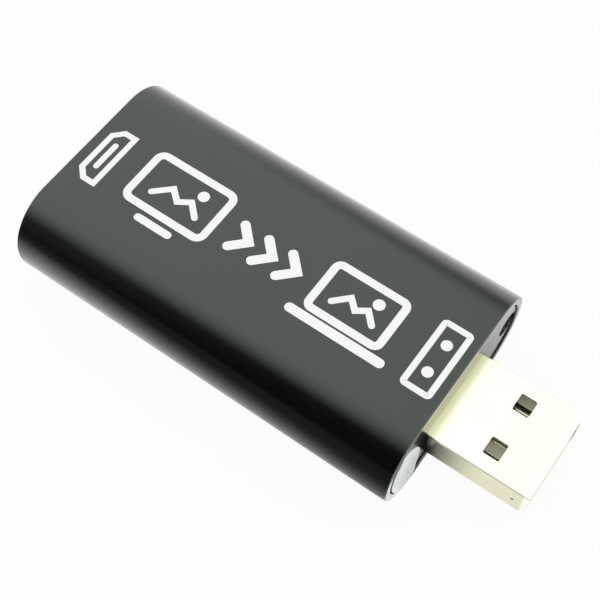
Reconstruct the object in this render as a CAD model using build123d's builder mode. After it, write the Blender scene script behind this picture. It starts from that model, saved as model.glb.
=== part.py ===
from build123d import *
from math import sqrt
import os

# A video capture dongle: an aluminium tube with a video socket at one end and a computer plug at the other.
# +X runs from the socket to the plug and +Z is up. The origin is the middle of the tube's underside.
# Every length is in millimetres.

# Housing sleeve, extruded aluminium
housing_length = 51.5
housing_width = 28.0
housing_height = 13.0
side_flat = 0.5
wall = 1.0
rim_break = 0.12

# Screw ports and board ledges, extruded in one with the sleeve
port_inset = 2.9
port_diameter = 3.4
port_bore = 1.7
port_mouth = 0.8
port_web = 1.8
ledge_thickness = 0.7
ledge_grip = 0.9

# End plates, which sit inside the sleeve's mouths
plate_thickness = 1.5
plate_gap = 0.1
plate_setback = 0.2
plate_edge_break = 0.15
opening_clearance = 0.12

# End screws, countersunk with a cross recess
screw_length = 5.0
screw_head_diameter = 3.2
screw_head_angle = 90
screw_passage = 2.1
thread_clearance = 0.02
drive_span = 1.7
drive_width = 0.42
drive_depth = 0.65

# Circuit board
under_board = 0.8
board_thickness = 1.2
board_slot_play = 0.1
board_side_play = 0.25
board_end_play = 0.2
hole_clearance = 0.1

# Computer plug, standard type A
plug_width = 12.0
plug_height = 4.5
plug_reach = 12.5
plug_inside = 6.25
plug_wall = 0.3
plug_corner = 0.4
plug_seam = 0.08
lip_length = 0.6
lip_inset = 0.15
window_length = 2.0
window_width = 2.25
window_corner = 0.2
window_spacing = 6.15
window_setback = 5.8
pip_diameter = 0.3
pip_depth = 0.1
pip_setback = 1.7
plug_leg_width = 1.0
plug_leg_inset = 0.9
plug_leg_spacing = 2.4
leg_protrusion = 0.4

# Plug insulator and its four contacts
tongue_thickness = 1.84
tongue_play = 0.05
tongue_front_break = 0.3
plug_mouth_depth = 11.75
plug_contact_width = 1.0
plug_contact_thickness = 0.25
plug_contact_rise = 0.1
inner_contact_spacing = 2.0
outer_contact_spacing = 7.0
inner_contact_setback = 1.9
outer_contact_setback = 0.9
plug_tail_offset = 0.6

# Video socket, 19-way
socket_width = 14.0
socket_height = 4.55
socket_depth = 11.9
socket_wall = 0.3
socket_corner = 0.35
bevel_width = 1.6
bevel_height = 1.5
flare = 0.35
flare_length = 0.5
spring_width = 1.5
spring_length = 4.4
spring_gap = 0.3
spring_setback = 1.5
spring_bulge_height = 0.35
spring_tip_rise = 0.2
spring_spacing = 6.4
socket_leg_width = 1.2
socket_leg_setback = 3.6
socket_leg_spacing = 6.0

# Socket insulator and its two rows of contacts
socket_base_length = 2.6
socket_tongue_width = 10.9
socket_tongue_thickness = 1.2
socket_tongue_setback = 1.4
socket_tongue_break = 0.25
socket_pitch = 1.0
upper_contact_count = 10
lower_contact_count = 9
socket_contact_width = 0.3
socket_contact_thickness = 0.15
socket_contact_rise = 0.05
socket_contact_setback = 0.5
socket_tail_offset = 0.4
socket_foot_length = 1.1

# Capture chip, a flat package on pads along its four edges
chip_side = 7.0
chip_height = 0.85
chip_pitch = 0.5
chip_pad_count = 12
chip_pad_length = 0.4
chip_pad_width = 0.25

# What the moulded chips share: a gap under the body, sloping sides and bent leads
chip_standoff = 0.1
chip_draft = 8
lead_thickness = 0.15
lead_foot = 0.45
lead_reach = 1.0

# Memory chip, eight leads on two sides
memory_length = 4.9
memory_width = 3.9
memory_height = 1.5
memory_pitch = 1.27
memory_lead_count = 4
memory_lead_width = 0.41

# Voltage regulator, three leads and a wide one
regulator_length = 6.5
regulator_width = 3.5
regulator_height = 1.6
regulator_pitch = 2.3
regulator_lead_count = 3
regulator_lead_width = 0.7
regulator_tab_width = 3.0

# Surge protection arrays beside the socket
array_length = 3.0
array_width = 1.6
array_height = 1.1
array_pitch = 0.95
array_lead_count = 3
array_lead_width = 0.4
array_lead_reach = 0.6

# Crystal, a metal can on a ceramic base
crystal_length = 5.0
crystal_width = 3.2
crystal_base_height = 0.5
crystal_can_height = 0.6
crystal_can_inset = 0.2
crystal_corner = 0.4

# Power inductor, a wound bobbin with square flanges
inductor_side = 4.0
inductor_flange = 0.7
inductor_height = 2.4
inductor_core_diameter = 2.0
winding_diameter = 3.4

# Small chip parts
capacitor_length = 1.6
capacitor_width = 0.8
capacitor_height = 0.8
resistor_length = 1.0
resistor_width = 0.5
resistor_height = 0.35
end_cap_length = 0.3
end_cap_thickness = 0.03

# Solder round the legs that pass through the board
joint_height = 0.35
joint_flare = 0.35
joint_slope = 0.25

# Every cut runs past the face it opens by this much
overrun = 0.5

# Places on the board, as shares of its half length along X and its half width along Y
chip_place_shares = (-0.16, 0.0)
memory_place_shares = (0.36, -0.50)
regulator_place_shares = (0.44, 0.46)
array_place_shares = ((-0.42, 0.66), (-0.42, -0.66))
crystal_place_shares = (0.20, 0.60)
inductor_place_shares = (0.60, -0.05)
capacitor_place_shares = (
    (-0.27, 0.70), (-0.18, 0.70), (-0.08, 0.70), (0.02, 0.70),
    (-0.27, -0.70), (-0.18, -0.70), (-0.08, -0.70), (0.02, -0.70),
    (0.14, 0.22), (0.14, -0.22), (0.66, 0.44), (0.60, -0.70),
)
resistor_place_shares = (
    (0.11, 0.08), (0.11, -0.08), (0.22, -0.78), (0.22, -0.66),
    (0.30, 0.24), (0.30, 0.12), (0.74, -0.70), (0.36, -0.10),
)

# Worked out from the sizes above
housing_end = housing_length / 2
mid_height = housing_height / 2
side_radius = (housing_height - side_flat) / 2
flat_half = housing_width / 2 - side_radius
cavity_width = housing_width - 2 * wall
cavity_height = housing_height - 2 * wall
cavity_radius = side_radius - wall
plate_face = housing_end - plate_setback
feature_end = plate_face - plate_thickness
port_spacing = housing_width - 2 * port_inset
port_radius = port_diameter / 2
shank_radius = port_bore / 2 - thread_clearance
head_radius = screw_head_diameter / 2

board_bottom = wall + under_board
board_top = board_bottom + board_thickness
slot_half = flat_half + sqrt(cavity_radius**2 - (side_radius - board_bottom) ** 2)
board_width = 2 * (slot_half - board_side_play)
board_length = 2 * (feature_end - board_end_play)
ledge_inner = board_width / 2 - ledge_grip

plug_centre = board_top + plug_height / 2
plug_tip = housing_end + plug_reach
plug_back = housing_end - plug_inside
plug_length = plug_tip - plug_back
plug_floor = board_top + plug_wall
plug_inner_width = plug_width - 2 * plug_wall
plug_inner_height = plug_height - 2 * plug_wall
plug_inner_corner = plug_corner - plug_wall
tongue_top = plug_floor + tongue_thickness
tongue_tip = plug_tip - lip_length - tongue_play
base_front = plug_tip - plug_mouth_depth
plug_contact_floor = tongue_top + plug_contact_rise - plug_contact_thickness
plug_tail_x = plug_back - plug_tail_offset
plug_leg_places = [
    (plug_back + plug_leg_inset + step * plug_leg_spacing, side * (plug_width - plug_wall) / 2)
    for step in (0, 1)
    for side in (-1, 1)
]
plug_contact_places = [
    (side * spacing / 2, plug_tip - setback)
    for spacing, setback in (
        (inner_contact_spacing, inner_contact_setback),
        (outer_contact_spacing, outer_contact_setback),
    )
    for side in (-1, 1)
]

socket_mouth = -plate_face
socket_back = socket_mouth + socket_depth
socket_centre = board_top + socket_wall + socket_height / 2
socket_tongue_top = socket_centre + socket_tongue_thickness / 2
socket_tongue_tip = socket_mouth + socket_tongue_setback
socket_contact_tip = socket_tongue_tip + socket_contact_setback
socket_base_front = socket_back - socket_base_length
socket_tail_x = socket_back + socket_tail_offset
socket_leg_places = [
    (
        socket_mouth + socket_leg_setback + step * socket_leg_spacing,
        side * (socket_width + socket_wall) / 2,
    )
    for step in (0, 1)
    for side in (-1, 1)
]


def board_place(shares):
    """A point on the board's upper face, from shares of its half length and half width."""
    return (shares[0] * board_length / 2, shares[1] * board_width / 2)


def row_places(count, pitch):
    """Evenly spaced places either side of zero."""
    return [(number - (count - 1) / 2) * pitch for number in range(count)]


os.makedirs("parts", exist_ok=True)

# Housing sleeve: a flat oval tube, with a screw port on each side wall and a slot for the board under it.
with BuildPart() as housing_sleeve:
    with BuildSketch(Plane.YZ.offset(-housing_end)):
        with Locations((0, mid_height)):
            RectangleRounded(housing_width, housing_height, side_radius)
            RectangleRounded(cavity_width, cavity_height, cavity_radius, mode=Mode.SUBTRACT)
    extrude(amount=housing_length)
    mouths = housing_sleeve.faces().sort_by(Axis.X)
    chamfer((mouths[0] + mouths[-1]).edges(), rim_break)
    with BuildSketch(Plane.YZ.offset(-feature_end)):
        for side in (-1, 1):
            with Locations((side * port_spacing / 2, mid_height)):
                Circle(port_radius)
            with Locations((side * (port_spacing + housing_width) / 4, mid_height)):
                Rectangle((housing_width - port_spacing) / 2, port_web)
            ledge_centre = side * (ledge_inner + housing_width / 2) / 2
            with Locations((ledge_centre, 0)):
                Rectangle(housing_width / 2 - ledge_inner, board_bottom, align=(Align.CENTER, Align.MIN))
            with Locations((ledge_centre, board_top + board_slot_play)):
                Rectangle(housing_width / 2 - ledge_inner, ledge_thickness, align=(Align.CENTER, Align.MIN))
        with Locations((0, mid_height)):
            RectangleRounded(
                housing_width - wall, housing_height - wall, side_radius - wall / 2, mode=Mode.INTERSECT
            )
        for side in (-1, 1):
            with Locations((side * port_spacing / 2, mid_height)):
                Circle(port_bore / 2, mode=Mode.SUBTRACT)
            with Locations((side * (port_spacing - port_diameter) / 2, mid_height)):
                Rectangle(port_diameter, port_mouth, mode=Mode.SUBTRACT)
    extrude(amount=2 * feature_end)
housing_sleeve.part.label = "housing_sleeve"
export_step(housing_sleeve.part, "parts/housing_sleeve.step")


def socket_outline(x, grow):
    """The video socket's opening at a distance along the tube, grown by a wall or a flare.

    It is a rectangle with its two lower corners cut off and all its corners rounded.
    """
    with BuildSketch(Plane(origin=(x, 0, socket_centre), x_dir=(0, 1, 0), z_dir=(1, 0, 0))) as outline:
        with BuildLine():
            Polyline(
                (-socket_width / 2, socket_height / 2),
                (socket_width / 2, socket_height / 2),
                (socket_width / 2, bevel_height - socket_height / 2),
                (socket_width / 2 - bevel_width, -socket_height / 2),
                (bevel_width - socket_width / 2, -socket_height / 2),
                (-socket_width / 2, bevel_height - socket_height / 2),
                close=True,
            )
        make_face()
        offset(amount=grow, kind=Kind.INTERSECTION)
        fillet(outline.vertices(), socket_corner + grow)
    return outline.sketch


def end_screws(face_x, turn):
    """A pair of countersunk screws whose heads lie in an end plate's outer face."""
    with BuildPart() as screws:
        for side in (-1, 1):
            with Locations(Location((face_x, side * port_spacing / 2, mid_height), (0, turn, 0))):
                Cone(
                    shank_radius,
                    head_radius,
                    head_radius - shank_radius,
                    align=(Align.CENTER, Align.CENTER, Align.MAX),
                )
                Cylinder(shank_radius, screw_length, align=(Align.CENTER, Align.CENTER, Align.MAX))
                for length, width in ((drive_span, drive_width), (drive_width, drive_span)):
                    Box(length, width, 2 * drive_depth, mode=Mode.SUBTRACT)
    return screws.part


# Output end plate: closes the plug's end, with a rounded slot for the plug and two countersunk holes.
with BuildPart() as output_end_plate:
    with BuildSketch(Plane.YZ.offset(feature_end)):
        with Locations((0, mid_height)):
            RectangleRounded(
                cavity_width - 2 * plate_gap, cavity_height - 2 * plate_gap, cavity_radius - plate_gap
            )
        with Locations((0, plug_centre)):
            RectangleRounded(
                plug_width + 2 * opening_clearance,
                plug_height + 2 * opening_clearance,
                plug_corner + opening_clearance,
                mode=Mode.SUBTRACT,
            )
    extrude(amount=plate_thickness)
    outer_rim = output_end_plate.faces().sort_by(Axis.X)[-1].outer_wire().edges()
    chamfer(outer_rim, plate_edge_break)
    for side in (-1, 1):
        with Locations(Location((plate_face, side * port_spacing / 2, mid_height), (0, 90, 0))):
            CounterSinkHole(screw_passage / 2, head_radius, counter_sink_angle=screw_head_angle)
output_end_plate.part.label = "output_end_plate"
export_step(output_end_plate.part, "parts/output_end_plate.step")

# Input end plate: the same outline, opened for the socket's flared mouth.
with BuildPart() as input_end_plate:
    with BuildSketch(Plane.YZ.offset(-plate_face)):
        with Locations((0, mid_height)):
            RectangleRounded(
                cavity_width - 2 * plate_gap, cavity_height - 2 * plate_gap, cavity_radius - plate_gap
            )
    extrude(amount=plate_thickness)
    outer_rim = input_end_plate.faces().sort_by(Axis.X)[0].outer_wire().edges()
    chamfer(outer_rim, plate_edge_break)
    extrude(
        socket_outline(-plate_face - overrun, socket_wall + flare + opening_clearance),
        amount=plate_thickness + 2 * overrun,
        dir=(1, 0, 0),
        mode=Mode.SUBTRACT,
    )
    for side in (-1, 1):
        with Locations(Location((-plate_face, side * port_spacing / 2, mid_height), (0, -90, 0))):
            CounterSinkHole(screw_passage / 2, head_radius, counter_sink_angle=screw_head_angle)
input_end_plate.part.label = "input_end_plate"
export_step(input_end_plate.part, "parts/input_end_plate.step")

# End screws: two at each end, driven into the sleeve's screw ports.
with BuildPart() as output_plate_screws:
    add(end_screws(plate_face, 90))
output_plate_screws.part.label = "output_plate_screws"
export_step(output_plate_screws.part, "parts/output_plate_screws.step")

with BuildPart() as input_plate_screws:
    add(end_screws(-plate_face, -90))
input_plate_screws.part.label = "input_plate_screws"
export_step(input_plate_screws.part, "parts/input_plate_screws.step")

# Circuit board: slides in the sleeve's slots and is held between the end plates.
with BuildPart() as circuit_board:
    with BuildSketch(Plane.XY.offset(board_bottom)):
        Rectangle(board_length, board_width)
        with Locations(*plug_leg_places):
            Rectangle(plug_leg_width + 2 * hole_clearance, plug_wall + 2 * hole_clearance, mode=Mode.SUBTRACT)
        with Locations(*socket_leg_places):
            Rectangle(
                socket_leg_width + 2 * hole_clearance, socket_wall + 2 * hole_clearance, mode=Mode.SUBTRACT
            )
        with Locations(*[(plug_tail_x, place) for place, front in plug_contact_places]):
            Rectangle(
                plug_contact_thickness + 2 * hole_clearance,
                plug_contact_width + 2 * hole_clearance,
                mode=Mode.SUBTRACT,
            )
    extrude(amount=board_thickness)
circuit_board.part.label = "circuit_board"
export_step(circuit_board.part, "parts/circuit_board.step")

# Plug shell: folded sheet metal with its seam underneath, four spring windows, drawn-in lips and board legs.
with BuildPart() as plug_shell:
    with BuildSketch(Plane.YZ.offset(plug_back)):
        with Locations((0, plug_centre)):
            RectangleRounded(plug_width, plug_height, plug_corner)
            RectangleRounded(plug_inner_width, plug_inner_height, plug_inner_corner, mode=Mode.SUBTRACT)
    extrude(amount=plug_length - lip_length)
    for width, height, corner, mode in (
        (plug_width, plug_height, plug_corner, Mode.ADD),
        (plug_inner_width, plug_inner_height, plug_inner_corner, Mode.SUBTRACT),
    ):
        for x, inset in ((plug_tip - lip_length, 0), (plug_tip, lip_inset)):
            with BuildSketch(Plane.YZ.offset(x)):
                with Locations((0, plug_centre)):
                    RectangleRounded(width - 2 * inset, height - 2 * inset, corner)
        loft(mode=mode)
    with BuildSketch(Plane.XY.offset(board_top - overrun)):
        with Locations((plug_tip - window_setback, 0)):
            with GridLocations(0, window_spacing, 1, 2):
                RectangleRounded(window_length, window_width, window_corner)
    extrude(amount=plug_height + 2 * overrun, mode=Mode.SUBTRACT)
    with Locations((plug_tip - plug_length / 2, 0, board_top)):
        Box(plug_length + 2 * overrun, plug_seam, 2 * plug_wall, mode=Mode.SUBTRACT)
    with Locations(Location((plug_tip - pip_setback, -plug_width / 2, plug_centre), (90, 0, 0))):
        Cylinder(pip_diameter / 2, 2 * pip_depth, mode=Mode.SUBTRACT)
    with Locations(*[(x, y, board_bottom - leg_protrusion) for x, y in plug_leg_places]):
        Box(
            plug_leg_width,
            plug_wall,
            leg_protrusion + board_thickness + plug_height / 2,
            align=(Align.CENTER, Align.CENTER, Align.MIN),
        )
plug_shell.part.label = "plug_shell"
export_step(plug_shell.part, "parts/plug_shell.step")

# Plug insulator: a moulded block that fills the back of the shell, with a tongue along its floor.
with BuildPart() as plug_insulator:
    with BuildSketch(Plane.YZ.offset(plug_back)):
        with Locations((0, plug_centre)):
            RectangleRounded(plug_inner_width, plug_inner_height, plug_inner_corner)
    extrude(amount=base_front - plug_back)
    with BuildSketch(Plane.YZ.offset(base_front)):
        with Locations((0, plug_centre)):
            RectangleRounded(plug_inner_width, plug_inner_height, plug_inner_corner)
        with Locations((0, plug_floor)):
            Rectangle(
                plug_width, tongue_thickness, align=(Align.CENTER, Align.MIN), mode=Mode.INTERSECT
            )
    extrude(amount=tongue_tip - base_front)
    tongue_front = plug_insulator.faces().sort_by(Axis.X)[-1]
    chamfer(tongue_front.edges().sort_by(Axis.Z)[-1], tongue_front_break)
    for place, front in plug_contact_places:
        with Locations(((plug_back + front) / 2, place, plug_contact_floor)):
            Box(
                front - plug_back,
                plug_contact_width,
                plug_contact_thickness,
                align=(Align.CENTER, Align.CENTER, Align.MIN),
                mode=Mode.SUBTRACT,
            )
plug_insulator.part.label = "plug_insulator"
export_step(plug_insulator.part, "parts/plug_insulator.step")


def bent_strip(points, bends, thickness, width, place):
    """A flat strip bent along a path in a plane of constant Y, with its middle at the given place.

    Bends of zero leave its corners sharp, for the many small leads that the housing hides.
    """
    with BuildPart() as strip:
        with BuildSketch(Plane.XZ.offset(-place)):
            with BuildLine():
                if bends > 0:
                    FilletPolyline(*points, radius=bends)
                else:
                    Polyline(*points)
            trace(line_width=thickness)
        extrude(amount=width / 2, both=True)
    return strip.part


# Plug contacts: four plated strips in the tongue's grooves, bent down behind the block into the board.
plug_contact_height = plug_contact_floor + plug_contact_thickness / 2
with BuildPart() as plug_contacts:
    for place, front in plug_contact_places:
        add(
            bent_strip(
                [
                    (front, plug_contact_height),
                    (plug_tail_x, plug_contact_height),
                    (plug_tail_x, board_bottom - leg_protrusion),
                ],
                0,
                plug_contact_thickness,
                plug_contact_width,
                place,
            )
        )
plug_contacts.part.label = "plug_contacts"
export_step(plug_contacts.part, "parts/plug_contacts.step")

# Socket shell: stamped metal with a flared mouth, four inward springs and four board legs.
with BuildPart() as socket_shell:
    for grow, mode in ((socket_wall, Mode.ADD), (0, Mode.SUBTRACT)):
        flare_end = socket_mouth + flare_length
        extrude(
            socket_outline(flare_end, grow),
            amount=socket_depth - flare_length,
            dir=(1, 0, 0),
            mode=mode,
        )
        loft(
            [socket_outline(socket_mouth, grow + flare).face(), socket_outline(flare_end, grow).face()],
            mode=mode,
        )
    spring_root = socket_mouth + spring_setback + spring_length
    for level in (-1, 1):
        wall_middle = socket_centre + level * (socket_height + socket_wall) / 2
        for side in (-1, 1):
            spring_y = side * spring_spacing / 2
            with Locations((spring_root, spring_y, wall_middle)):
                Box(
                    spring_length,
                    spring_width + 2 * spring_gap,
                    2 * socket_wall,
                    align=(Align.MAX, Align.CENTER, Align.CENTER),
                    mode=Mode.SUBTRACT,
                )
            add(
                bent_strip(
                    [
                        (spring_root + spring_gap, wall_middle),
                        (spring_root - spring_gap, wall_middle),
                        (spring_root - spring_length / 2, wall_middle - level * spring_bulge_height),
                        (
                            spring_root - spring_length + spring_gap,
                            wall_middle - level * (spring_bulge_height - spring_tip_rise),
                        ),
                    ],
                    socket_wall,
                    socket_wall,
                    spring_width,
                    spring_y,
                )
            )
    with Locations(*[(x, y, board_bottom - leg_protrusion) for x, y in socket_leg_places]):
        Box(
            socket_leg_width,
            socket_wall,
            socket_centre - board_bottom + leg_protrusion,
            align=(Align.CENTER, Align.CENTER, Align.MIN),
        )
socket_shell.part.label = "socket_shell"
export_step(socket_shell.part, "parts/socket_shell.step")


def socket_contact_cut(place, floor):
    """A groove for one socket contact, along the tongue and through the block behind it."""
    with Locations((socket_contact_tip, place, floor)):
        Box(
            socket_back - socket_contact_tip,
            socket_contact_width,
            socket_contact_thickness,
            align=(Align.MIN, Align.CENTER, Align.MIN),
            mode=Mode.SUBTRACT,
        )


upper_contact_floor = socket_tongue_top + socket_contact_rise - socket_contact_thickness
lower_contact_floor = socket_tongue_top - socket_tongue_thickness - socket_contact_rise

# Socket insulator: a moulded block that closes the shell's back and carries the tongue.
with BuildPart() as socket_insulator:
    extrude(socket_outline(socket_base_front, 0), amount=socket_base_length, dir=(1, 0, 0))
    with BuildSketch(Plane.YZ.offset(socket_tongue_tip)):
        with Locations((0, socket_centre)):
            Rectangle(socket_tongue_width, socket_tongue_thickness)
    extrude(amount=socket_base_front - socket_tongue_tip)
    tongue_front = socket_insulator.faces().sort_by(Axis.X)[0]
    chamfer(tongue_front.edges().filter_by(Axis.Y), socket_tongue_break)
    for place in row_places(upper_contact_count, socket_pitch):
        socket_contact_cut(place, upper_contact_floor)
    for place in row_places(lower_contact_count, socket_pitch):
        socket_contact_cut(place, lower_contact_floor)
socket_insulator.part.label = "socket_insulator"
export_step(socket_insulator.part, "parts/socket_insulator.step")


def socket_contact(place, floor):
    """One socket contact: along the tongue, through the block, down behind it and out along the board."""
    contact_height = floor + socket_contact_thickness / 2
    foot_height = board_top + socket_contact_thickness / 2
    return bent_strip(
        [
            (socket_contact_tip, contact_height),
            (socket_tail_x, contact_height),
            (socket_tail_x, foot_height),
            (socket_tail_x + socket_foot_length, foot_height),
        ],
        0,
        socket_contact_thickness,
        socket_contact_width,
        place,
    )


# Socket contacts: ten strips on top of the tongue and nine under it, between the ten.
with BuildPart() as socket_contacts_upper:
    for place in row_places(upper_contact_count, socket_pitch):
        add(socket_contact(place, upper_contact_floor))
socket_contacts_upper.part.label = "socket_contacts_upper"
export_step(socket_contacts_upper.part, "parts/socket_contacts_upper.step")

with BuildPart() as socket_contacts_lower:
    for place in row_places(lower_contact_count, socket_pitch):
        add(socket_contact(place, lower_contact_floor))
socket_contacts_lower.part.label = "socket_contacts_lower"
export_step(socket_contacts_lower.part, "parts/socket_contacts_lower.step")


def moulded_package(centre, length, width, height):
    """A moulded chip body: its sides slope in above and below the line where its leads come out."""
    with BuildPart() as package:
        for direction in (-1, 1):
            with BuildSketch(Plane.XY.offset(board_top + chip_standoff + height / 2)):
                with Locations(centre):
                    Rectangle(length, width)
            extrude(amount=height / 2, dir=(0, 0, direction), taper=chip_draft)
    return package.part


def gull_lead(height, reach, width):
    """One bent lead at the middle of a chip's side: out of the body at Y zero, down, and along the board."""
    exit_height = board_top + chip_standoff + height / 2
    foot_height = board_top + lead_thickness / 2
    return bent_strip(
        [
            (0, exit_height),
            (reach - lead_foot, exit_height),
            (reach - lead_foot, foot_height),
            (reach, foot_height),
        ],
        0,
        lead_thickness,
        width,
        0,
    )


def lead_rows(centre, sides, body_half, places, lead):
    """Copies of one lead along each named side of a chip, the sides given as turns about Z."""
    with BuildPart() as leads:
        for turn in sides:
            with Locations(Location((*centre, 0), (0, 0, turn))):
                with Locations(*[(body_half, place, 0) for place in places]):
                    add(lead)
    return leads.part


# Capture chip: turns the video signal into a stream for the computer. It has no leads, only pads underneath.
chip_centre = board_place(chip_place_shares)
with BuildPart() as capture_chip:
    with BuildSketch(Plane.XY.offset(board_top + chip_standoff)):
        with Locations(chip_centre):
            Rectangle(chip_side, chip_side)
    extrude(amount=chip_height)
capture_chip.part.label = "capture_chip"
export_step(capture_chip.part, "parts/capture_chip.step")

with BuildPart() as chip_pad:
    Box(chip_pad_length, chip_pad_width, chip_standoff, align=(Align.MAX, Align.CENTER, Align.MIN))

with BuildPart() as capture_chip_pads:
    with Locations((0, 0, board_top)):
        add(
            lead_rows(
                chip_centre,
                (0, 90, 180, 270),
                chip_side / 2,
                row_places(chip_pad_count, chip_pitch),
                chip_pad.part,
            )
        )
capture_chip_pads.part.label = "capture_chip_pads"
export_step(capture_chip_pads.part, "parts/capture_chip_pads.step")

# Memory chip: holds the display data that the video source reads.
memory_centre = board_place(memory_place_shares)
with BuildPart() as memory_chip:
    add(moulded_package(memory_centre, memory_length, memory_width, memory_height))
memory_chip.part.label = "memory_chip"
export_step(memory_chip.part, "parts/memory_chip.step")

with BuildPart() as memory_chip_leads:
    add(
        lead_rows(
            memory_centre,
            (90, 270),
            memory_width / 2,
            row_places(memory_lead_count, memory_pitch),
            gull_lead(memory_height, lead_reach, memory_lead_width),
        )
    )
memory_chip_leads.part.label = "memory_chip_leads"
export_step(memory_chip_leads.part, "parts/memory_chip_leads.step")

# Voltage regulator: three narrow leads on one side and a wide one that takes heat to the board.
regulator_centre = board_place(regulator_place_shares)
with BuildPart() as voltage_regulator:
    add(moulded_package(regulator_centre, regulator_length, regulator_width, regulator_height))
voltage_regulator.part.label = "voltage_regulator"
export_step(voltage_regulator.part, "parts/voltage_regulator.step")

with BuildPart() as voltage_regulator_leads:
    add(
        lead_rows(
            regulator_centre,
            (270,),
            regulator_width / 2,
            row_places(regulator_lead_count, regulator_pitch),
            gull_lead(regulator_height, lead_reach, regulator_lead_width),
        )
    )
    add(
        lead_rows(
            regulator_centre,
            (90,),
            regulator_width / 2,
            (0,),
            gull_lead(regulator_height, lead_reach, regulator_tab_width),
        )
    )
voltage_regulator_leads.part.label = "voltage_regulator_leads"
export_step(voltage_regulator_leads.part, "parts/voltage_regulator_leads.step")

# Protection arrays: two small chips that guard the socket's signal lines.
array_centres = [board_place(shares) for shares in array_place_shares]
with BuildPart() as protection_arrays:
    for centre in array_centres:
        add(moulded_package(centre, array_length, array_width, array_height))
protection_arrays.part.label = "protection_arrays"
export_step(protection_arrays.part, "parts/protection_arrays.step")

with BuildPart() as protection_array_leads:
    for centre in array_centres:
        add(
            lead_rows(
                centre,
                (90, 270),
                array_width / 2,
                row_places(array_lead_count, array_pitch),
                gull_lead(array_height, array_lead_reach, array_lead_width),
            )
        )
protection_array_leads.part.label = "protection_array_leads"
export_step(protection_array_leads.part, "parts/protection_array_leads.step")

# Crystal: the clock's quartz blank in a metal can, soldered to a ceramic base.
crystal_centre = board_place(crystal_place_shares)
with BuildPart() as crystal_base:
    with BuildSketch(Plane.XY.offset(board_top)):
        with Locations(crystal_centre):
            Rectangle(crystal_length, crystal_width)
    extrude(amount=crystal_base_height)
crystal_base.part.label = "crystal_base"
export_step(crystal_base.part, "parts/crystal_base.step")

with BuildPart() as crystal_can:
    with BuildSketch(Plane.XY.offset(board_top + crystal_base_height)):
        with Locations(crystal_centre):
            RectangleRounded(
                crystal_length - 2 * crystal_can_inset, crystal_width - 2 * crystal_can_inset, crystal_corner
            )
    extrude(amount=crystal_can_height)
crystal_can.part.label = "crystal_can"
export_step(crystal_can.part, "parts/crystal_can.step")

# Power inductor: a ferrite bobbin and the copper winding round its core.
inductor_centre = board_place(inductor_place_shares)
with BuildPart() as inductor_bobbin:
    for floor in (board_top, board_top + inductor_height - inductor_flange):
        with BuildSketch(Plane.XY.offset(floor)):
            with Locations(inductor_centre):
                Rectangle(inductor_side, inductor_side)
        extrude(amount=inductor_flange)
    with Locations((*inductor_centre, board_top)):
        Cylinder(
            inductor_core_diameter / 2, inductor_height, align=(Align.CENTER, Align.CENTER, Align.MIN)
        )
inductor_bobbin.part.label = "inductor_bobbin"
export_step(inductor_bobbin.part, "parts/inductor_bobbin.step")

with BuildPart() as inductor_winding:
    with BuildSketch(Plane.XY.offset(board_top + inductor_flange)):
        with Locations(inductor_centre):
            Circle(winding_diameter / 2)
            Circle(inductor_core_diameter / 2, mode=Mode.SUBTRACT)
    extrude(amount=inductor_height - 2 * inductor_flange)
inductor_winding.part.label = "inductor_winding"
export_step(inductor_winding.part, "parts/inductor_winding.step")


def chip_parts(place_shares, length, width, height):
    """Small two-ended chip parts on the board, with metal caps that stand a little proud of the body."""
    with BuildPart() as parts:
        for shares in place_shares:
            x, y = board_place(shares)
            with Locations((x, y, board_top)):
                Box(
                    length - 2 * end_cap_length,
                    width - 2 * end_cap_thickness,
                    height - end_cap_thickness,
                    align=(Align.CENTER, Align.CENTER, Align.MIN),
                )
            for side in (-1, 1):
                with Locations((x + side * (length - end_cap_length) / 2, y, board_top)):
                    Box(end_cap_length, width, height, align=(Align.CENTER, Align.CENTER, Align.MIN))
    return parts.part


# Ceramic capacitors and resistors round the chips.
with BuildPart() as ceramic_capacitors:
    add(chip_parts(capacitor_place_shares, capacitor_length, capacitor_width, capacitor_height))
ceramic_capacitors.part.label = "ceramic_capacitors"
export_step(ceramic_capacitors.part, "parts/ceramic_capacitors.step")

with BuildPart() as resistors:
    add(chip_parts(resistor_place_shares, resistor_length, resistor_width, resistor_height))
resistors.part.label = "resistors"
export_step(resistors.part, "parts/resistors.step")


def solder_joint(place, length, width):
    """The mound of solder under the board round one leg: a block with its lower edges sloped off."""
    with BuildPart() as joint:
        with Locations((*place, board_bottom)):
            Box(
                length + 2 * joint_flare,
                width + 2 * joint_flare,
                joint_height,
                align=(Align.CENTER, Align.CENTER, Align.MAX),
            )
            chamfer(joint.faces().sort_by(Axis.Z)[0].edges(), joint_slope)
            Box(length, width, 2 * (joint_height + overrun), mode=Mode.SUBTRACT)
    return joint.part


# Solder joints: one under the board round each leg that comes through it.
leg_sections = [(place, plug_leg_width, plug_wall) for place in plug_leg_places]
leg_sections += [(place, socket_leg_width, socket_wall) for place in socket_leg_places]
leg_sections += [
    ((plug_tail_x, place), plug_contact_thickness, plug_contact_width) for place, front in plug_contact_places
]
with BuildPart() as solder_joints:
    for place, length, width in leg_sections:
        add(solder_joint(place, length, width))
solder_joints.part.label = "solder_joints"
export_step(solder_joints.part, "parts/solder_joints.step")
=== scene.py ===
import bpy
import numpy as np
from mathutils import Matrix, Vector


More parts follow.
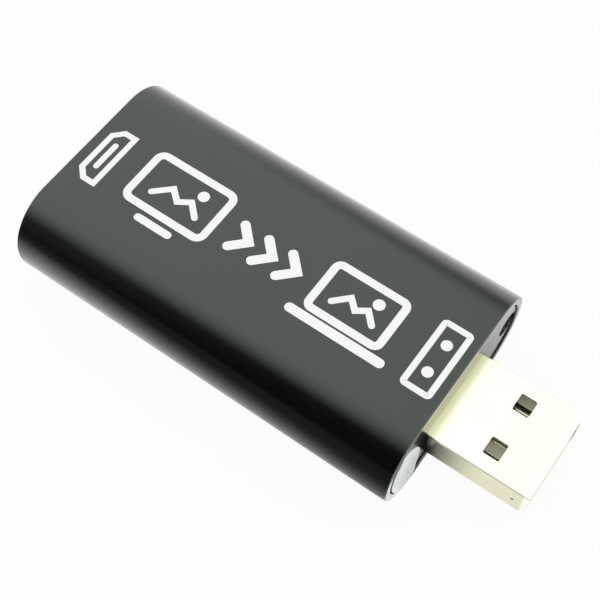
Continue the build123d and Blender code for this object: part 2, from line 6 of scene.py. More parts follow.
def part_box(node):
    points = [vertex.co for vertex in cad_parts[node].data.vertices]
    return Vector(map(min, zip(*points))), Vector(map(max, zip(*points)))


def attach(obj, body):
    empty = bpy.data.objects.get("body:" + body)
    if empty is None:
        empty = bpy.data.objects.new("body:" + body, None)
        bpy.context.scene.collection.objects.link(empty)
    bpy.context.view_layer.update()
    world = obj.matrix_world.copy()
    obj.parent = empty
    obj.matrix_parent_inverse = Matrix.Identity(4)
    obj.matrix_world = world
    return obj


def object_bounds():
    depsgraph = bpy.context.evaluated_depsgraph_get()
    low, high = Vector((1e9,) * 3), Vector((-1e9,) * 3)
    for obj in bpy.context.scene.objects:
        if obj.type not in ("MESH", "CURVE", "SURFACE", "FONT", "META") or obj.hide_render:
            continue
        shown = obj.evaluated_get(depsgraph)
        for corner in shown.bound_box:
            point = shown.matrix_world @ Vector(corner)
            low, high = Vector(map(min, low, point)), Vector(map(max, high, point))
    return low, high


# A video capture dongle on a white table, seen from above its plug end. The solids come from the packed
# model. This script gives them their finishes, and adds the white print and the seal sticker.
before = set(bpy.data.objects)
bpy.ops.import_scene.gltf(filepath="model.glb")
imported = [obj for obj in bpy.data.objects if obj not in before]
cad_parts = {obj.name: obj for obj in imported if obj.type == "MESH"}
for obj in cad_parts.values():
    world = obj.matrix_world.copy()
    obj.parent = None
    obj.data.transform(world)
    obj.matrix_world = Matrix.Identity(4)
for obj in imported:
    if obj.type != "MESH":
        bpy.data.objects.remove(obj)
cad_low, cad_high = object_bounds()


# Camera. A short telephoto held above the near corner at the plug's end, and turned so that the dongle lies
# across the picture from the upper left to the lower right.

millimetre = 0.001
camera_place = Vector((43.848, -54.972, 126.544)) * millimetre
camera_right = Vector((0.813851, 0.581073, 0.000790))
camera_up = Vector((-0.506712, 0.709034, 0.490422))
focal_length = 72.156
sensor_width = 36.0
nearest_seen = 0.01
farthest_seen = 20.0

camera_data = bpy.data.cameras.new("camera")
camera_data.lens = focal_length
camera_data.sensor_width = sensor_width
camera_data.clip_start = nearest_seen
camera_data.clip_end = farthest_seen
camera = bpy.data.objects.new("camera", camera_data)
bpy.context.scene.collection.objects.link(camera)
turned = Matrix((camera_right, camera_up, camera_right.cross(camera_up))).transposed()
camera.matrix_world = Matrix.Translation(camera_place) @ turned.to_4x4()
bpy.context.scene.camera = camera
bpy.context.scene.view_settings.view_transform = "Standard"


# Light tent. White cloth lit from above the input end, a white panel facing the plug's end, and a low white
# backdrop all round but for the camera's side. The object mirrors these and the dark between them, which
# draws the black band along the sleeve's near edge. The spread light comes from a wider sky.


class Shade:
    """A value in a node tree. Arithmetic on it adds Math nodes, and node() adds any other kind."""

    def __init__(self, tree, socket=None):
        self.tree = tree
        self.socket = socket

    def node(self, kind, settings=None, inputs=None, out=0):
        """Adds a node, sets its settings, then gives its sockets their values or links."""
        made = self.tree.nodes.new("ShaderNode" + kind)
        for name, value in (settings or {}).items():
            setattr(made, name, value)
        for name, value in (inputs or {}).items():
            if isinstance(value, Shade):
                self.tree.links.new(value.socket, made.inputs[name])
            else:
                made.inputs[name].default_value = value
        return Shade(self.tree, made.outputs[out] if made.outputs else None)

    def math(self, operation, *values):
        """A Math node on the values given."""
        return self.node("Math", {"operation": operation}, dict(enumerate(values)))

    def __add__(self, other):
        return self.math("ADD", self, other)

    def __sub__(self, other):
        return self.math("SUBTRACT", self, other)

    def __rsub__(self, other):
        return self.math("SUBTRACT", other, self)

    def __mul__(self, other):
        return self.math("MULTIPLY", self, other)

    def __abs__(self):
        return self.math("ABSOLUTE", self)

    __radd__ = __add__
    __rmul__ = __mul__

    def ease(self, low, high):
        """Goes smoothly from 0 to 1 as the value goes from low to high, and stays flat outside."""
        return self.node(
            "MapRange",
            {"interpolation_type": "SMOOTHSTEP"},
            {"Value": self, "From Min": low, "From Max": high},
        )

    def mix(self, zero, one):
        """The colour zero where the value is 0, the colour one where it is 1."""
        factor, colour_zero, colour_one, colour_out = 0, 6, 7, 2
        inputs = {factor: self, colour_zero: zero, colour_one: one}
        return self.node("Mix", {"data_type": "RGBA"}, inputs, out=colour_out)

    def vector(self, operation, *others, out="Vector"):
        """Vector Math on this vector and any others that the operation takes."""
        return self.node("VectorMath", {"operation": operation}, dict(enumerate((self, *others))), out)

    def part(self, axis):
        """One component of a vector."""
        return self.node("SeparateXYZ", {}, {0: self}, out=axis)

    def onto(self, normal):
        """The same bump, laid over a surface that already has this normal."""
        self.tree.links.new(normal.socket, self.socket.node.inputs["Normal"])
        return self


def color(red, green, blue):
    """A colour with full alpha."""
    return (red, green, blue, 1.0)


tent_white = color(1.0, 1.0, 1.0)
spread_white = color(0.84, 0.84, 0.84)
unlit_side = color(0.006, 0.007, 0.008)
tent_strength = 1.35
shown_strength = 1.0
cloth_middle = Vector((-0.55, 0.20, 0.81))
cloth_edge_cosines = (0.47, 0.93)
backdrop_way = Vector((0.17, 0.98, 0.0))
backdrop_edge_cosines = (-0.60, 0.30)
backdrop_top = (0.58, 0.05)
backdrop_share = 0.76
panel_middle = Vector((0.85, 0.30, 0.43))
panel_edge_cosines = (0.62, 0.85)
far_wall_way = Vector((-0.82, -0.47, 0.33))
far_wall_edge_cosines = (0.74, 1.0)
far_wall_share = 0.12
spread_middle = Vector((-0.30, 0.10, 0.95))
spread_edge_cosines = (-0.50, 0.40)

world = bpy.data.worlds.new("light_tent")
bpy.context.scene.world = world
world.use_nodes = True
world.node_tree.nodes.clear()
start = Shade(world.node_tree)
direction = start.node("TexCoord", out="Generated")


def towards(way):
    """The cosine of the angle between the direction looked in and a given one."""
    return direction.vector("DOT_PRODUCT", way, out="Value")


cloth = towards(cloth_middle).ease(*cloth_edge_cosines)
backdrop = direction.part("Z").ease(*backdrop_top) * towards(backdrop_way).ease(*backdrop_edge_cosines)
panel = towards(panel_middle).ease(*panel_edge_cosines)
far_wall = towards(far_wall_way).ease(*far_wall_edge_cosines) * far_wall_share
mirrored = (cloth + backdrop * backdrop_share + panel + far_wall).mix(unlit_side, tent_white)
spread = (towards(spread_middle).ease(*spread_edge_cosines) + panel).mix(unlit_side, spread_white)
is_glossy_ray = start.node("LightPath", out="Is Glossy Ray")
lit = start.node("Background", {}, {"Color": is_glossy_ray.mix(spread, mirrored), "Strength": tent_strength})
white_backdrop = start.node("Background", {}, {"Color": tent_white, "Strength": shown_strength})
is_camera_ray = start.node("LightPath", out="Is Camera Ray")
shown = start.node("MixShader", {}, {0: is_camera_ray, 1: lit, 2: white_backdrop})
start.node("OutputWorld", {}, {"Surface": shown})


# Table. A white top that looks white to the camera and keeps a faint shadow. In reflections it glows with
# painted light: white on the far side and beyond the plug, going dark away from the object on the camera's
# side, and along the plug a painted shadow by the end plate that pales outwards.

table_half = 1.5
table_white = color(0.86, 0.86, 0.86)
camera_tone = color(0.865, 0.865, 0.865)
camera_glow = 0.95
glow_strength = 1.15
far_tone = color(0.95, 0.95, 0.95)
far_side_edge = (20.0, 26.0)
beyond_plug_edge = (37.0, 39.0)
near_tones = (color(0.08, 0.08, 0.08), color(0.72, 0.72, 0.72))
near_side_edge = (-9.2, -10.5)
near_side_slant = 0.35
near_side_fade = (-46.0, -6.0)
before_plate = (24.0, 26.0)
before_plate_edge = (-17.0, -13.0)
# Painted shadow along the plug in reflections, dark by the end plate and pale past it.
painted_plug_shadow_tones = (color(0.02, 0.02, 0.02), color(0.71, 0.70, 0.62))
plug_strip_start = (12.0, 22.0)
beside_plug_edge = (-6.0, -6.5)
past_plate = (24.3, 32.5)


def grid_mesh(name, rows, closed=False):
    """A mesh from an array of points, rows x columns x 3, joined as a grid.

    A closed one joins its last row to its first, and has a face over each end of its columns.
    """
    n_u, n_v = rows.shape[:2]
    u, v = np.meshgrid(np.arange(n_u if closed else n_u - 1), np.arange(n_v - 1), indexing="ij")
    u_next = (u + 1) % n_u
    quads = np.stack([u * n_v + v, u_next * n_v + v, u_next * n_v + v + 1, u * n_v + v + 1], axis=-1)
    faces = quads.reshape(-1, 4).tolist()
    if closed:
        first_column = np.arange(n_u) * n_v
        faces += [first_column[::-1].tolist(), (first_column + n_v - 1).tolist()]
    mesh = bpy.data.meshes.new(name)
    mesh.from_pydata(rows.reshape(-1, 3), [], faces)
    mesh.update()
    return mesh


def put_in(name, mesh, material):
    """Puts a piece with this mesh and material in the scene."""
    mesh.materials.append(material)
    piece = bpy.data.objects.new(name, mesh)
    bpy.context.scene.collection.objects.link(piece)
    return piece


def own_place(start):
    """The place on the object, in millimetres."""
    inputs = {0: start.node("TexCoord", out="Object"), "Scale": 1 / millimetre}
    return start.node("VectorMath", {"operation": "SCALE"}, inputs)


table_top = bpy.data.materials.new("white_table_top")
table_top.use_nodes = True
table_top.node_tree.nodes.clear()
start = Shade(table_top.node_tree)
is_camera_ray = start.node("LightPath", out="Is Camera Ray")
is_glossy_ray = start.node("LightPath", out="Is Glossy Ray")
is_transmission_ray = start.node("LightPath", out="Is Transmission Ray")
place = own_place(start)
across, along = place.part("Y"), place.part("X")
fade = (across - along * near_side_slant).ease(*near_side_fade)
near_side = 1.0 - (1.0 - across.ease(*near_side_edge)) * along.ease(*plug_strip_start)
far_side = across.ease(*far_side_edge) + along.ease(*beyond_plug_edge)
mirrored_part = (across.ease(*beside_plug_edge) + far_side) * (is_glossy_ray + is_transmission_ray)
by_plate = along.ease(*before_plate) * across.ease(*before_plate_edge)
near_tone = by_plate.mix((fade * fade).mix(*near_tones), far_tone)
plug_shadow_tone = along.ease(*past_plate).mix(*painted_plug_shadow_tones)
mirrored_tone = far_side.mix(near_side.mix(plug_shadow_tone, near_tone), far_tone)
glow = is_camera_ray * camera_glow + mirrored_part
glow_tone = is_camera_ray.mix(mirrored_tone, camera_tone)
painted = start.node("BsdfDiffuse", {}, {"Color": table_white})
glowing = start.node("Emission", {}, {"Color": glow_tone, "Strength": glow_strength})
table_surface = start.node("MixShader", {}, {0: glow, 1: painted, 2: glowing})
start.node("OutputMaterial", {}, {"Surface": table_surface})

edges = np.array([-table_half, table_half])
table_x, table_y = np.meshgrid(edges, edges, indexing="ij")
table_mesh = grid_mesh("table", np.stack([table_x, table_y, np.zeros_like(table_x)], axis=-1))
table = put_in("table", table_mesh, table_top)


# Housing sleeve. Extruded aluminium, bead blasted and anodised black. The finish is a soft satin, a little
# greenish where it shines, with faint draw lines along the extrusion and slightly paler cut edges.


def finish(name, recipe, steady):
    """A Principled material. The recipe works out its varying sockets from the place on the object, in mm."""
    material = bpy.data.materials.new(name)
    material.use_nodes = True
    material.node_tree.nodes.clear()
    start = Shade(material.node_tree)
    shader = start.node("BsdfPrincipled", {}, {**steady, **recipe(own_place(start))})
    start.node("OutputMaterial", {}, {"Surface": shader})
    return material


def stretched(place, x, y, z):
    """The place with each axis scaled, to stretch a pattern."""
    return place.vector("MULTIPLY", (x, y, z))


def noise(place, swells, detail=2.0, roughness=0.5):
    """Smooth noise from 0 to 1, with the given number of swells in a millimetre."""
    inputs = {"Vector": place, "Scale": swells, "Detail": detail, "Roughness": roughness}
    return place.node("TexNoise", {}, inputs)


def bump(height, strength=1.0, distance=1.0):
    """A bump from a height, where a height of 1 stands for the distance in millimetres."""
    inputs = {"Height": height, "Strength": strength, "Distance": distance * millimetre}
    return height.node("Bump", {}, inputs)


def dress(material, *names):
    """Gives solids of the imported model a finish."""
    for name in names:
        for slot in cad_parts[name].material_slots:
            slot.material = material


plug_reach = 12.5
sleeve_end = cad_high.x / millimetre - plug_reach
cut_edge = (sleeve_end - 0.16, sleeve_end - 0.04)
cut_edge_tone = color(0.05, 0.052, 0.05)
dye_tones = (color(0.0010, 0.0012, 0.0011), color(0.0016, 0.0018, 0.0017))
shine_tint = color(0.80, 1.0, 0.84)


def anodised(place):
    """Grain from the blasting, draw lines along the extrusion, cloudy dye, and paler cut edges."""
    grain = noise(place, 9.0, detail=3.0, roughness=0.6)
    lines = noise(stretched(place, 0.02, 6.0, 6.0), 1.0)
    clouds = noise(place, 0.12, detail=3.0)
    dye = clouds.ease(0.3, 0.7).mix(*dye_tones)
    return {
        "Base Color": abs(place.part("X")).ease(*cut_edge).mix(dye, cut_edge_tone),
        "Roughness": 0.15 + grain * 0.05 + lines * 0.03 + clouds * 0.03,
        "Normal": bump(grain * 0.7 + lines * 0.3, strength=0.25, distance=0.003),
    }


black_anodised = finish(
    "black_anodised_aluminium",
    anodised,
    {"Specular Tint": shine_tint, "Coat Weight": 0.88, "Coat Roughness": 0.14},
)
dress(black_anodised, "housing_sleeve")


# End plates. Stamped plates with a glossy black coat that mirrors the table and the plug. Each is set a
# little inside the sleeve and held by two screws.

lacquer_tones = (color(0.006, 0.006, 0.007), color(0.010, 0.010, 0.012))


def lacquered(place):
    """A slow waviness under the gloss, and a few fine rubs."""
    waves = noise(place, 0.35)
    rubs = noise(stretched(place, 1.0, 0.4, 7.0), 1.5, detail=3.0, roughness=0.6)
    return {
        "Base Color": waves.mix(*lacquer_tones),
        "Roughness": 0.09 + rubs.ease(0.45, 0.8) * 0.08,
        "Normal": bump(waves + rubs * 0.05, strength=0.25, distance=0.01),
    }


glossy_black = finish(
    "glossy_black_plate",
    lacquered,
    {"Coat Weight": 0.5, "Coat IOR": 1.6, "Coat Roughness": 0.06},
)
dress(glossy_black, "output_end_plate", "input_end_plate")


# End screws. Countersunk steel screws with a black zinc coat, driven into ports in the sleeve's rounded sides
# and rubbed bright round the drive recess.

screw_offset = 11.1
screw_height = 6.5
worn_edge = (1.45, 1.10)
worn_raggedness = 0.8
worn_tone = color(0.20, 0.20, 0.21)
zinc_tone = color(0.030, 0.031, 0.034)
zinc_shine = color(0.12, 0.12, 0.13)


def black_zinc(place):
    """Turning marks and a patchy coat, worn through round the drive recess."""
    patches = noise(place, 3.0, detail=3.0)
    marks = noise(stretched(place, 1.0, 8.0, 8.0), 2.0)
    both_sides = stretched(place, 0.0, 1.0, 1.0).vector("ABSOLUTE")
    from_axis = both_sides.vector("DISTANCE", (0.0, screw_offset, screw_height), out="Value")
    return {
        "Base Color": (from_axis + patches * worn_raggedness).ease(*worn_edge).mix(zinc_tone, worn_tone),
        "Roughness": 0.30 + marks * 0.15,
        "Normal": bump(marks, strength=0.3, distance=0.004),
    }


screw_black = finish("black_zinc_steel", black_zinc, {"Metallic": 1.0, "Specular Tint": zinc_shine})
dress(screw_black, "output_plate_screws", "input_plate_screws")


# Plug shell. Folded steel sheet, nickel plated with a pale gold cast. It takes fine scratches along its
# length from going in and out of a socket. Where it leaves the end plate, painted shade darkens its sides
# and a painted warm shade tints its top.


def plated(tint, shadow_tint):
    """A recipe for a plated sheet: a faint cast that comes and goes, and fine scratches along X."""

    def recipe(place):
        cast = noise(place, 0.25)
        scratches = noise(stretched(place, 0.25, 9.0, 9.0), 1.0, detail=3.0, roughness=0.65)
        dots = noise(place, 5.0)
        return {
            "Base Color": cast.ease(0.35, 0.7).mix(tint, shadow_tint),
            "Roughness": 0.15 + scratches.ease(0.5, 0.8) * 0.06 + dots * 0.03,
            "Normal": bump(scratches * 0.3 + dots * 0.7, strength=0.10, distance=0.002),
        }

    return recipe


plug_centre = 5.25
corner_up = (1.65, 1.90)
corner_across = (5.40, 5.65)
inner_up = (2.235, 2.20)
inner_across = (5.985, 5.95)
top_edge = (7.30, 7.48)
fold_edge = 0.24
# The dimple in the near side is painted dark as shade.
dimple_place = (cad_high.x / millimetre - 1.7, -6.0, plug_centre)
dimple_shade_edge = (0.22, 0.14)
bend_end = sleeve_end + 1.6
bend_rise = 0.035
# Painted shade where the shell leaves the end plate: warm on the top, dark on the sides.
painted_warm_shade = (sleeve_end + 1.1, sleeve_end + 0.2)
painted_side_shade = (sleeve_end + 1.5, sleeve_end + 0.25)
gold_casts = (color(0.95, 0.93, 0.78), color(0.94, 0.915, 0.745))
inner_tone = color(0.90, 0.89, 0.83)
painted_warm_shade_tone = color(0.74, 0.745, 0.47)
painted_side_shade_tone = color(0.05, 0.04, 0.02)
dimple_shade_tone = color(0.03, 0.03, 0.025)


def plug_plated(place):
    """The plated sheet, greyer on its sheared edges and inside, with crisp folds along its four corners.

    The dimple in its near side is painted dark as shade. By the end plate the top has a painted warm shade
    and turns up, by the square of the distance to where the bend ends, and a painted dark shade sits on the
    sides.
    At a fold the normal keeps its upward part where that is the larger one, and its sideways part where that
    is.
    """
    look = plated(*gold_casts)(place)
    along, from_centre, from_side = place.part("X"), abs(place.part("Z") - plug_centre), abs(place.part("Y"))
    corners = from_centre.ease(*corner_up) * from_side.ease(*corner_across)
    inside = from_centre.ease(*inner_up) * from_side.ease(*inner_across) * (1.0 - corners)
    on_top = place.part("Z").ease(*top_edge)
    from_dimple = place.vector("DISTANCE", dimple_place, out="Value")
    sheet = inside.mix(look["Base Color"], inner_tone)
    # Painted shade: warm on the top by the end plate, dark on the sides there, and dark in the dimple.
    sheet = (along.ease(*painted_warm_shade) * on_top).mix(sheet, painted_warm_shade_tone)
    sheet = (along.ease(*painted_side_shade) * (1.0 - on_top)).mix(sheet, painted_side_shade_tone)
    look["Base Color"] = from_dimple.ease(*dimple_shade_edge).mix(sheet, dimple_shade_tone)
    normal = place.node("NewGeometry", out="Normal")
    faces_up = (abs(normal.part("Z")) - abs(normal.part("Y"))).ease(-fold_edge, fold_edge)
    kept = place.node("CombineXYZ", {}, {"X": 1.0, "Y": 1.0 - faces_up, "Z": faces_up})
    folded = normal.vector("MULTIPLY", kept).vector("NORMALIZE")
    before_bend = place.math("MAXIMUM", bend_end - along, 0.0)
    rise = before_bend * before_bend * bend_rise * on_top
    look["Normal"] = look["Normal"].onto(bump(rise).onto(folded))
    return look


plug_nickel = finish("warm_nickel_plate", plug_plated, {"Metallic": 1.0})
dress(plug_nickel, "plug_shell")


# Plug insulator. The tongue that carries the plug's contacts, moulded in a pale warm plastic with a satin
# skin and held between the walls of the shell.

tongue_tones = (color(0.95, 0.93, 0.75), color(0.89, 0.86, 0.68))
tongue_gloss = 0.16


def moulded(tone, darker, gloss):
    """A recipe for a moulded or fired part: a mottle of two tones and a fine skin texture over the gloss."""

    def recipe(place):
        mottle = noise(place, 1.1, detail=3.0)
        skin = noise(place, 14.0)
        return {
            "Base Color": mottle.ease(0.3, 0.7).mix(tone, darker),
            "Roughness": gloss + skin * 0.12,
            "Normal": bump(skin, strength=0.3, distance=0.004),
        }

    return recipe


tongue_plastic = finish(
    "taupe_moulding",
    moulded(*tongue_tones, tongue_gloss),
    {"Coat Weight": 1.0, "Coat IOR": 1.7},
)
dress(tongue_plastic, "plug_insulator")


# Contacts. Strips stamped from copper alloy sheet and plated with gold. The plug's four lie along its tongue
# with their long edges rolled over, and the socket's 19 lie in grooves and run back to the board.

gold_tones = (color(0.93, 0.84, 0.62), color(0.87, 0.77, 0.54))


def gilded(place):
    """Gold plate with fine rolling lines."""
    lines = noise(stretched(place, 0.3, 12.0, 4.0), 1.0)
    return {
        "Base Color": lines.mix(*gold_tones),
        "Roughness": 0.07 + lines * 0.06,
        "Normal": bump(lines, strength=0.2, distance=0.003),
    }


pair_line = 2.25
from_pair_line = 1.25
outer_strips = (2.15, 2.35)
strip_shade = (0.0, 0.04)
strip_edge = (-0.24, -0.29)
strip_crown = -1.1
crown_power = 4.0
strip_tones = (color(0.93, 0.87, 0.70), color(0.88, 0.81, 0.63))
# Painted shade on one half of each strip.
painted_half_shade_tone = color(0.16, 0.15, 0.12)


def crowned(place):
    """Gold plate on the plug's four strips, whose long edges are rolled over towards the tongue.

    The offset from a strip's middle line is the same for all four, as each lies as far from one of two lines,
    one each side of the plug's middle. The height falls as its fourth power. The half away from those lines
    is painted dark as shade, and so is the other half's edge on the outer two.
    """
    look = gilded(place)
    from_middle = abs(place.part("Y"))
    offset = abs(from_middle - pair_line) - from_pair_line
    # Painted shade: dark on the half away from the lines, and on the outer strips' other edge.
    painted_half_shade = offset.ease(*strip_shade) + offset.ease(*strip_edge) * from_middle.ease(*outer_strips)
    look["Base Color"] = painted_half_shade.mix(noise(place, 0.8).mix(*strip_tones), painted_half_shade_tone)
    look["Normal"] = bump(place.math("POWER", abs(offset), crown_power) * strip_crown)
    return look


contact_gold = finish("gold_plated_strip", gilded, {"Metallic": 1.0})
dress(contact_gold, "socket_contacts_upper", "socket_contacts_lower")
crowned_gold = finish("gold_plated_crowned_strip", crowned, {"Metallic": 1.0})
dress(crowned_gold, "plug_contacts")


# Video socket. A steel shell stamped and folded to shape, plated like the plug's but cooler in tone, round a
# moulded black block with a thin tongue.

cool_casts = (color(0.80, 0.79, 0.76), color(0.74, 0.73, 0.70))
block_tones = (color(0.022, 0.022, 0.023), color(0.014, 0.014, 0.015))
block_gloss = 0.45

socket_nickel = finish("cool_nickel_plate", plated(*cool_casts), {"Metallic": 1.0})
dress(socket_nickel, "socket_shell")
socket_plastic = finish("black_moulding", moulded(*block_tones, block_gloss), {})
dress(socket_plastic, "socket_insulator")


# Circuit board. Glass laminate with copper tracks under a green solder mask. It slides into the sleeve's
# slots and is sealed in by the end plates.

track_cells = 0.7
track_line = 0.42
track_edge = (0.10, 0.05)
mask_tone = color(0.012, 0.12, 0.05)
track_tone = color(0.03, 0.22, 0.10)


def solder_mask(place):
    """Copper tracks that show as paler, raised lines under the mask."""
    cells = place.node(
        "TexVoronoi", {"distance": "CHEBYCHEV", "feature": "F1"}, {"Vector": place, "Scale": track_cells}
    )
    tracks = abs(cells - track_line).ease(*track_edge)
    weave = noise(place, 6.0)
    return {
        "Base Color": tracks.mix(mask_tone, track_tone),
        "Roughness": 0.28 + weave * 0.1,
        "Normal": bump(tracks + weave * 0.2, strength=0.4, distance=0.02),
    }


board_green = finish("green_solder_mask", solder_mask, {"Coat Weight": 0.3})
dress(board_green, "circuit_board")


# Parts on the board. Moulded chips, small ceramic parts, a crystal in its can and an inductor with its copper
# winding. Their leads and pads are tinned, and all of them are soldered down.

epoxy = (color(0.030, 0.030, 0.031), color(0.022, 0.022, 0.023), 0.55)
brown_ceramic = (color(0.30, 0.25, 0.22), color(0.22, 0.19, 0.17), 0.5)
grey_ferrite = (color(0.085, 0.083, 0.083), color(0.055, 0.054, 0.054), 0.6)
tan_ceramic = (color(0.50, 0.37, 0.25), color(0.42, 0.30, 0.20), 0.45)
dark_glaze = (color(0.045, 0.045, 0.055), color(0.03, 0.03, 0.04), 0.35)

chip_epoxy = finish("moulded_epoxy", moulded(*epoxy), {})
dress(chip_epoxy, "capture_chip", "memory_chip", "voltage_regulator", "protection_arrays")
dress(finish("fired_ceramic", moulded(*brown_ceramic), {}), "crystal_base")
dress(finish("sintered_ferrite", moulded(*grey_ferrite), {}), "inductor_bobbin")
dress(finish("tan_ceramic", moulded(*tan_ceramic), {}), "ceramic_capacitors")
dress(finish("dark_glaze", moulded(*dark_glaze), {}), "resistors")

tin_tones = (color(0.76, 0.76, 0.75), color(0.62, 0.62, 0.61))


def tinned(place):
    """Dull tin with a frosty grain."""
    frost = noise(place, 11.0, detail=3.0)
    return {
        "Base Color": frost.mix(*tin_tones),
        "Roughness": 0.28 + frost * 0.2,
        "Normal": bump(frost, strength=0.3, distance=0.004),
    }


tin_plate = finish("tin_plate", tinned, {"Metallic": 1.0})
dress(tin_plate, "capture_chip_pads", "memory_chip_leads", "voltage_regulator_leads")
dress(tin_plate, "protection_array_leads", "crystal_can", "solder_joints")

turns_scale = 1.6
# The darker tone is painted shade in the grooves between turns.
copper_groove_shade_tones = (color(0.42, 0.17, 0.07), color(0.80, 0.42, 0.22))


def enamelled(place):
    """Copper wire wound close, one ridge a turn up the winding, painted darker in each groove as shade."""
    inputs = {"Vector": place, "Scale": turns_scale, "Distortion": 0.0}
    turns = place.node("TexWave", {"bands_direction": "Z"}, inputs, out="Fac")
    return {
        "Base Color": turns.mix(*copper_groove_shade_tones),
        "Roughness": 0.3 + turns * 0.1,
        "Normal": bump(turns, strength=0.8, distance=0.05),
    }


winding_copper = finish("enamelled_copper", enamelled, {"Metallic": 1.0})
dress(winding_copper, "inductor_winding")


# Seal sticker. A plain oval of white vinyl, pressed a little askew over the near screw of the output end
# plate. It dips a little into the screw's recess, and below it climbs onto the cut end of the sleeve, so that
# the plate can't come out unseen.

seal_centre = np.array([-9.85, 5.45])
seal_half = (2.8, 4.7)
seal_tilt = np.radians(17)
seal_thickness = 0.06
seal_stand_off = 0.004
seal_angles = 72
front_rings = 22
back_rings = 8
pole_share = 0.02
flat_half = 7.75
sleeve_middle = 6.5
side_flat_half = 0.25
cavity_radius = 5.25
climb_width = 1.2
plate_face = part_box("output_end_plate")[1].x / millimetre
screw_centre = np.array([-screw_offset, screw_height])
dip_depth = 0.045
dip_width = 0.6
rim_height = 0.015
rim_radius = 1.6
rim_width = 0.25
lift_height = 0.012
lift_power = 6
lift_waves = 3
lift_phase = 0.7
vinyl_tones = (color(0.96, 1.0, 0.98), color(0.74, 0.81, 0.81))


def seal_surface():
    """A thin oval on a polar grid: angle x ring x 3, in metres, closed from pole to pole.

    The rings run out over the front and back over the rear. The front stands off the plate by the vinyl's
    thickness, less a dip into the recess and plus a low rim round it, each a bell curve of the distance from
    the screw. Front and rear lift by a sine of the angle times a power of the share of the way to the edge,
    and climb to the sleeve's cut end as a smooth step of the distance from the flat in the sleeve's middle.
    """
    angle = np.linspace(2 * np.pi, 0, seal_angles, endpoint=False)[:, None]
    share = np.concatenate([np.linspace(pole_share, 1, front_rings), np.linspace(1, pole_share, back_rings)])
    share, front = share[None, :], np.arange(share.size)[None, :] < front_rings
    across, up = seal_half[0] * share * np.cos(angle), seal_half[1] * share * np.sin(angle)
    y = seal_centre[0] + across * np.cos(seal_tilt) - up * np.sin(seal_tilt)
    z = seal_centre[1] + across * np.sin(seal_tilt) + up * np.cos(seal_tilt)
    from_screw = np.hypot(y - screw_centre[0], z - screw_centre[1])
    dip = dip_depth * np.exp(-((from_screw / dip_width) ** 2))
    rim = rim_height * np.exp(-(((from_screw - rim_radius) / rim_width) ** 2))
    lift = lift_height * share**lift_power * (1 + np.sin(lift_waves * angle + lift_phase))
    beside_flat = np.maximum(np.abs(y) - flat_half, 0)
    above_flat = np.maximum(np.abs(z - sleeve_middle) - side_flat_half, 0)
    climb = np.clip((np.hypot(beside_flat, above_flat) - cavity_radius) / climb_width + 1, 0, 1)
    climb = (sleeve_end - plate_face) * climb**2 * (3 - 2 * climb)
    x = plate_face + seal_stand_off + climb + lift + np.where(front, seal_thickness - (dip - rim), 0.0)
    return np.stack([x, y, z], axis=-1) * millimetre


def vinyl(place):
    """Cool white vinyl, mottled where it is not stuck down."""
    mottle = noise(place, 2.0, detail=3.0, roughness=0.6)
    creases = noise(stretched(place, 1.0, 0.6, 3.0), 1.2)
    return {
        "Base Color": mottle.ease(0.40, 0.65).mix(*vinyl_tones),
        "Roughness": 0.38 + mottle * 0.20,
        "Normal": bump(creases * 0.7 + mottle * 0.3, strength=0.6, distance=0.04),
    }


seal_mesh = grid_mesh("seal_sticker", seal_surface(), closed=True)
seal = put_in("seal_sticker", seal_mesh, finish("white_vinyl", vinyl, {}))
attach(seal, "root")


# Printed marks. White ink, screen printed on the flat top: a screen, three chevrons and a laptop in the
# middle, and the outline of its connector beside each end. Each stroke is a strip with a flat top and rounded
# ends.

ink_height = 0.02
ink_root = 0.004
top_face = cad_high.z / millimetre
line = 0.95
end_angles = np.radians([18, 36, 54, 72, 90])
corner_points = 6
dot_angles = np.radians(np.arange(0, 360, 15))
dot_fill = 0.98
ink_tones = (color(0.85, 0.86, 0.845), color(0.79, 0.80, 0.785))


def stroke(points, width, closed=False):
    """A strip of ink along a path on the top: path x profile x 3, in metres, and whether it is closed.

    The profile is a rectangle, half a width either side of the path along its normal. At a corner the normal
    is the mean of its neighbours', lengthened by one over the cosine of half the turn. At a free end the
    half width follows the sine of an angle while the distance from the end follows one minus its cosine.
    """
    path = np.asarray(points, float)
    reach = np.full(len(path), width / 2)
    if not closed:
        steps = width / 2 * (1 - np.cos(end_angles))[:, None]
        first, last = path[1] - path[0], path[-2] - path[-1]
        head = path[0] + steps * first / np.hypot(*first)
        tail = path[-1] + steps * last / np.hypot(*last)
        path = np.concatenate([head, path[1:-1], tail[::-1]])
        rounded = width / 2 * np.sin(end_angles)
        reach = np.concatenate([rounded, reach[1:-1], rounded[::-1]])
    ahead = np.roll(path, -1, axis=0) - path
    behind = path - np.roll(path, 1, axis=0)
    if not closed:
        ahead[-1], behind[0] = behind[-1], ahead[0]
    ahead /= np.linalg.norm(ahead, axis=1)[:, None]
    behind /= np.linalg.norm(behind, axis=1)[:, None]
    mean = ahead + behind
    mean /= np.linalg.norm(mean, axis=1)[:, None]
    reach = reach / np.sum(mean * ahead, axis=1)
    side = np.stack([-mean[:, 1], mean[:, 0]], axis=-1) * reach[:, None]
    low = np.full(len(path), top_face - ink_root)
    high = np.full(len(path), top_face + ink_height)
    corners = [(path + side, low), (path + side, high), (path - side, high), (path - side, low)]
    rows = np.stack([np.column_stack([place, level]) for place, level in corners], axis=1)
    return rows * millimetre, closed


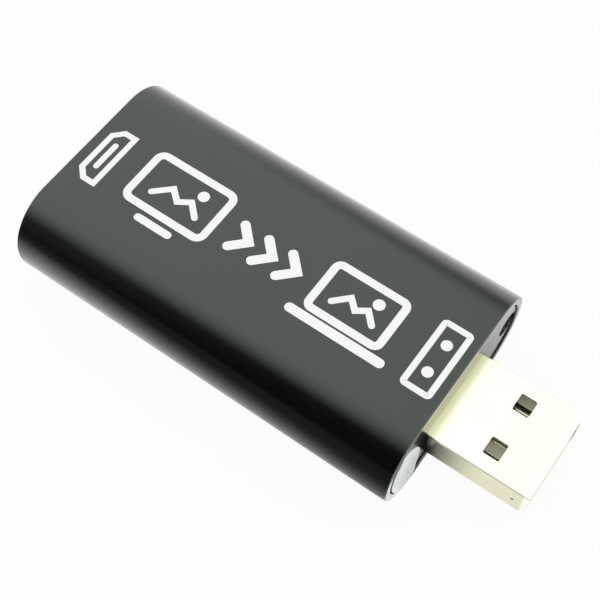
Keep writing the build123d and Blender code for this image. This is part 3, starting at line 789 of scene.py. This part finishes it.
def ring(centre, half, corner, width):
    """A stroke round a rectangle with round corners: four quarter circles joined by straight sides."""
    quarter = np.repeat([0, 90, 180, 270], corner_points)
    angle = np.radians(quarter + np.tile(np.linspace(0, 90, corner_points), 4))
    middle = np.radians(quarter + 45)
    quadrant = np.sign(np.stack([np.cos(middle), np.sin(middle)], -1))
    arcs = corner * np.stack([np.cos(angle), np.sin(angle)], -1)
    return stroke(centre + quadrant * (np.array(half) - corner) + arcs, width, closed=True)


def dot(centre, radius):
    """A round dot: a stroke round a circle of half its radius that reaches almost to the middle."""
    circle = radius / 2 * np.stack([np.cos(dot_angles), np.sin(dot_angles)], -1)
    return stroke(centre + circle, radius * dot_fill, closed=True)


def ink(place):
    """Dense white ink with a fine mesh pattern left by the screen."""
    screen = noise(place, 8.0, detail=3.0, roughness=0.6)
    return {
        "Base Color": screen.ease(0.25, 0.75).mix(*ink_tones),
        "Roughness": 0.42 + screen * 0.15,
        "Normal": bump(screen, strength=0.3, distance=0.004),
    }


white_ink = finish("white_screen_ink", ink, {})


def printed(name, strokes):
    """One piece of ink from several strokes, each a closed strip.

    Each stroke's path x profile grid is joined round its profile, and along its path from end to end. An open
    path gets a flat face at each end.
    """
    points, faces, count = [], [], 0
    for rows, closed in strokes:
        n_u, n_v = rows.shape[:2]
        u, v = np.meshgrid(np.arange(n_u if closed else n_u - 1), np.arange(n_v), indexing="ij")
        u_next, v_next = (u + 1) % n_u, (v + 1) % n_v
        quads = np.stack([u * n_v + v, u * n_v + v_next, u_next * n_v + v_next, u_next * n_v + v], axis=-1)
        faces += (quads.reshape(-1, 4) + count).tolist()
        if not closed:
            ends = np.array([np.arange(n_v)[::-1], np.arange(n_v) + (n_u - 1) * n_v])
            faces += (ends + count).tolist()
        points.append(rows.reshape(-1, 3))
        count += n_u * n_v
    mesh = bpy.data.meshes.new(name)
    mesh.from_pydata(np.concatenate(points), [], faces)
    mesh.update()
    piece = put_in(name, mesh, white_ink)
    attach(piece, "root")


hills = np.array([[-0.62, -0.48], [-0.22, 0.10], [0.04, -0.24], [0.30, 0.02], [0.64, -0.48]])
hill_line = line * 0.8
sun = np.array([0.42, 0.42])
sun_radius = line * 0.75


def picture(centre, half):
    """A plain picture inside a screen: two hills and a sun, drawn as shares of the screen's half sizes."""
    return [stroke(centre + hills * half, hill_line), dot(centre + sun * half, sun_radius)]


screen_centre = np.array([-12.2, 0.2])
screen_half = (5.4, 3.5)
screen_corner = 0.9
screen_foot = [(-2.6, -5.0), (2.6, -5.0)]
printed("printed_screen", [
    ring(screen_centre, screen_half, screen_corner, line),
    *picture(screen_centre, screen_half),
    stroke(screen_centre + screen_foot, line),
])

heavy_line = line * 1.2
laptop_centre = np.array([12.2, 0.2])
laptop_half = (4.6, 3.2)
laptop_corner = 0.7
laptop_base = [(-6.4, -4.5), (6.4, -4.5)]
printed("printed_laptop", [
    ring(laptop_centre, laptop_half, laptop_corner, line),
    *picture(laptop_centre, laptop_half),
    stroke(laptop_centre + laptop_base, heavy_line),
])

chevron = np.array([[-0.9, 2.1], [1.2, 0.0], [-0.9, -2.1]])
chevron_places = [(-3.3, -0.3), (0.0, -0.3), (3.3, -0.3)]
printed("printed_chevrons", [stroke(chevron + place, heavy_line) for place in chevron_places])

fine_line = line * 0.75
socket_mark_centre = np.array([-22.7, -0.4])
socket_mark = np.array([[1.3, -3.8], [1.3, 3.8], [-0.2, 3.8], [-1.3, 2.7], [-1.3, -2.7], [-0.2, -3.8]])
socket_mark_tongue = [(0.0, -2.1), (0.0, 2.1)]
printed("printed_socket_mark", [
    stroke(socket_mark_centre + socket_mark, fine_line, closed=True),
    stroke(socket_mark_centre + socket_mark_tongue, fine_line),
])

plug_mark_centre = np.array([22.7, -0.3])
plug_mark_half = (1.6, 4.3)
plug_mark_corner = 0.3
window_places = [(0.0, 1.9), (0.0, -1.9)]
window_radius = line * 0.7
printed("printed_plug_mark", [
    ring(plug_mark_centre, plug_mark_half, plug_mark_corner, fine_line),
    *[dot(plug_mark_centre + place, window_radius) for place in window_places],
])
